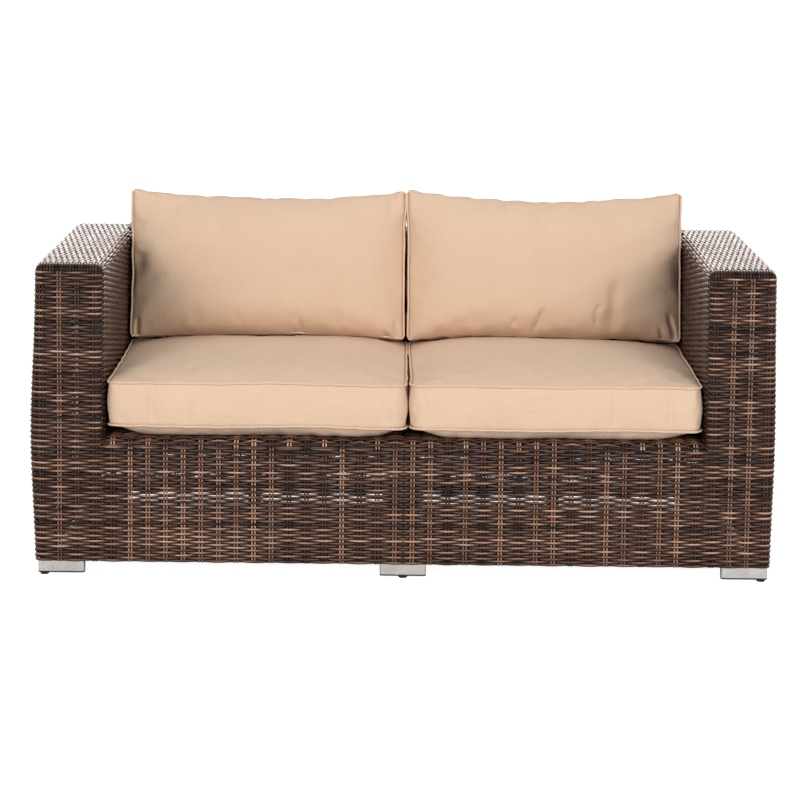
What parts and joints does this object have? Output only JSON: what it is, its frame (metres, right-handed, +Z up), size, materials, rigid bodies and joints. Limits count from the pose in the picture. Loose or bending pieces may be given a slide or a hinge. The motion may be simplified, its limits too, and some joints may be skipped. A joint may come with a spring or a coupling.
{
  "type": "patio loveseat",
  "caption": "Low woven-cane garden sofa with wide square arms, box seat cushions, leaning back cushions and metal corner feet on levelling pads.",
  "frame": {"origin": "on the floor, under the middle of the sofa's outer box", "axes": "+X to the right seen from the front, -Y is the front, +Z up"},
  "size_m": [1.56, 0.78, 0.7765],
  "materials": {
    "wicker": "woven round synthetic cane in mixed browns, satin",
    "frame_tube": "brown powder coat on square aluminium tube",
    "foot_metal": "brushed, warm light grey",
    "foot_cap": "black moulded",
    "foot_plate": "zinc plated",
    "screw": "zinc plated",
    "insert": "turned",
    "leveller": "black moulded",
    "cushion_fabric": "warm beige ribbed polyester",
    "piping": "self piping of the cover's fabric",
    "foam": "open-cell foam",
    "zip": "woven tape with a moulded chain",
    "zip_slider": "painted die-cast slider"
  },
  "bodies": {
    "sofa": {"arm_posts": "frame_tube", "arm_top_tubes": "frame_tube", "back_posts": "frame_tube", "back_top_tubes": "frame_tube", "base_cross_tubes": "frame_tube", "base_long_tubes": "frame_tube", "foot_caps": "foot_cap", "foot_front_left": "foot_metal", "foot_front_middle": "foot_metal", "foot_front_right": "foot_metal", "foot_plates": "foot_plate", "foot_rear_left": "foot_metal", "foot_rear_middle": "foot_metal", "foot_rear_right": "foot_metal", "foot_screws": "screw", "leveller_inserts": "insert", "seat_long_tubes": "frame_tube", "seat_side_tubes": "frame_tube", "seat_slats": "frame_tube", "skirt_uprights": "frame_tube", "wicker_back_inner": "wicker", "wicker_back_outer": "wicker", "wicker_back_top": "wicker", "wicker_front_skirt": "wicker", "wicker_left_arm_front": "wicker", "wicker_left_arm_inner": "wicker", "wicker_left_arm_outer": "wicker", "wicker_left_arm_top": "wicker", "wicker_right_arm_front": "wicker", "wicker_right_arm_inner": "wicker", "wicker_right_arm_outer": "wicker", "wicker_right_arm_top": "wicker", "wicker_seat_deck": "wicker"},
    "seat_cushion_left": {"seat_cushion_left_cover": "cushion_fabric", "seat_cushion_left_foam": "foam", "seat_cushion_left_piping": "piping", "seat_cushion_left_zip": "zip"},
    "seat_cushion_left_zip_slider": {"seat_cushion_left_zip_slider": "zip_slider"},
    "seat_cushion_right": {"seat_cushion_right_cover": "cushion_fabric", "seat_cushion_right_foam": "foam", "seat_cushion_right_piping": "piping", "seat_cushion_right_zip": "zip"},
    "seat_cushion_right_zip_slider": {"seat_cushion_right_zip_slider": "zip_slider"},
    "back_cushion_left": {"back_cushion_left_cover": "cushion_fabric", "back_cushion_left_foam": "foam", "back_cushion_left_piping": "piping", "back_cushion_left_zip": "zip"},
    "back_cushion_left_zip_slider": {"back_cushion_left_zip_slider": "zip_slider"},
    "back_cushion_right": {"back_cushion_right_cover": "cushion_fabric", "back_cushion_right_foam": "foam", "back_cushion_right_piping": "piping", "back_cushion_right_zip": "zip"},
    "back_cushion_right_zip_slider": {"back_cushion_right_zip_slider": "zip_slider"},
    "leveller_front_left": {"leveller_front_left": "leveller"},
    "leveller_front_right": {"leveller_front_right": "leveller"},
    "leveller_rear_left": {"leveller_rear_left": "leveller"},
    "leveller_rear_right": {"leveller_rear_right": "leveller"},
    "leveller_front_middle": {"leveller_front_middle": "leveller"},
    "leveller_rear_middle": {"leveller_rear_middle": "leveller"}
  },
  "joints": [
    {"name": "seat_cushion_left_pull_out", "type": "slide", "parent": "sofa", "child": "seat_cushion_left", "axis": [0, -1, 0], "range_m": [0, 0.6]},
    {"name": "seat_cushion_right_pull_out", "type": "slide", "parent": "sofa", "child": "seat_cushion_right", "axis": [0, -1, 0], "range_m": [0, 0.6]},
    {"name": "back_cushion_left_lift", "type": "slide", "parent": "sofa", "child": "back_cushion_left", "axis": [0, 0, 1], "range_m": [0, 0.4]},
    {"name": "back_cushion_right_lift", "type": "slide", "parent": "sofa", "child": "back_cushion_right", "axis": [0, 0, 1], "range_m": [0, 0.4]},
    {"name": "seat_cushion_left_zip_run", "type": "slide", "parent": "seat_cushion_left", "child": "seat_cushion_left_zip_slider", "axis": [1, 0, 0], "range_m": [0, 0.479]},
    {"name": "seat_cushion_right_zip_run", "type": "slide", "parent": "seat_cushion_right", "child": "seat_cushion_right_zip_slider", "axis": [1, 0, 0], "range_m": [0, 0.479]},
    {"name": "back_cushion_left_zip_run", "type": "slide", "parent": "back_cushion_left", "child": "back_cushion_left_zip_slider", "axis": [-1, 0, 0], "range_m": [0, 0.478]},
    {"name": "back_cushion_right_zip_run", "type": "slide", "parent": "back_cushion_right", "child": "back_cushion_right_zip_slider", "axis": [-1, 0, 0], "range_m": [0, 0.478]},
    {"name": "leveller_front_left_screw_out", "type": "slide", "parent": "sofa", "child": "leveller_front_left", "axis": [0, 0, -1], "range_m": [0, 0.01]},
    {"name": "leveller_front_right_screw_out", "type": "slide", "parent": "sofa", "child": "leveller_front_right", "axis": [0, 0, -1], "range_m": [0, 0.01]},
    {"name": "leveller_rear_left_screw_out", "type": "slide", "parent": "sofa", "child": "leveller_rear_left", "axis": [0, 0, -1], "range_m": [0, 0.01]},
    {"name": "leveller_rear_right_screw_out", "type": "slide", "parent": "sofa", "child": "leveller_rear_right", "axis": [0, 0, -1], "range_m": [0, 0.01]},
    {"name": "leveller_front_middle_screw_out", "type": "slide", "parent": "sofa", "child": "leveller_front_middle", "axis": [0, 0, -1], "range_m": [0, 0.01]},
    {"name": "leveller_rear_middle_screw_out", "type": "slide", "parent": "sofa", "child": "leveller_rear_middle", "axis": [0, 0, -1], "range_m": [0, 0.01]}
  ]
}
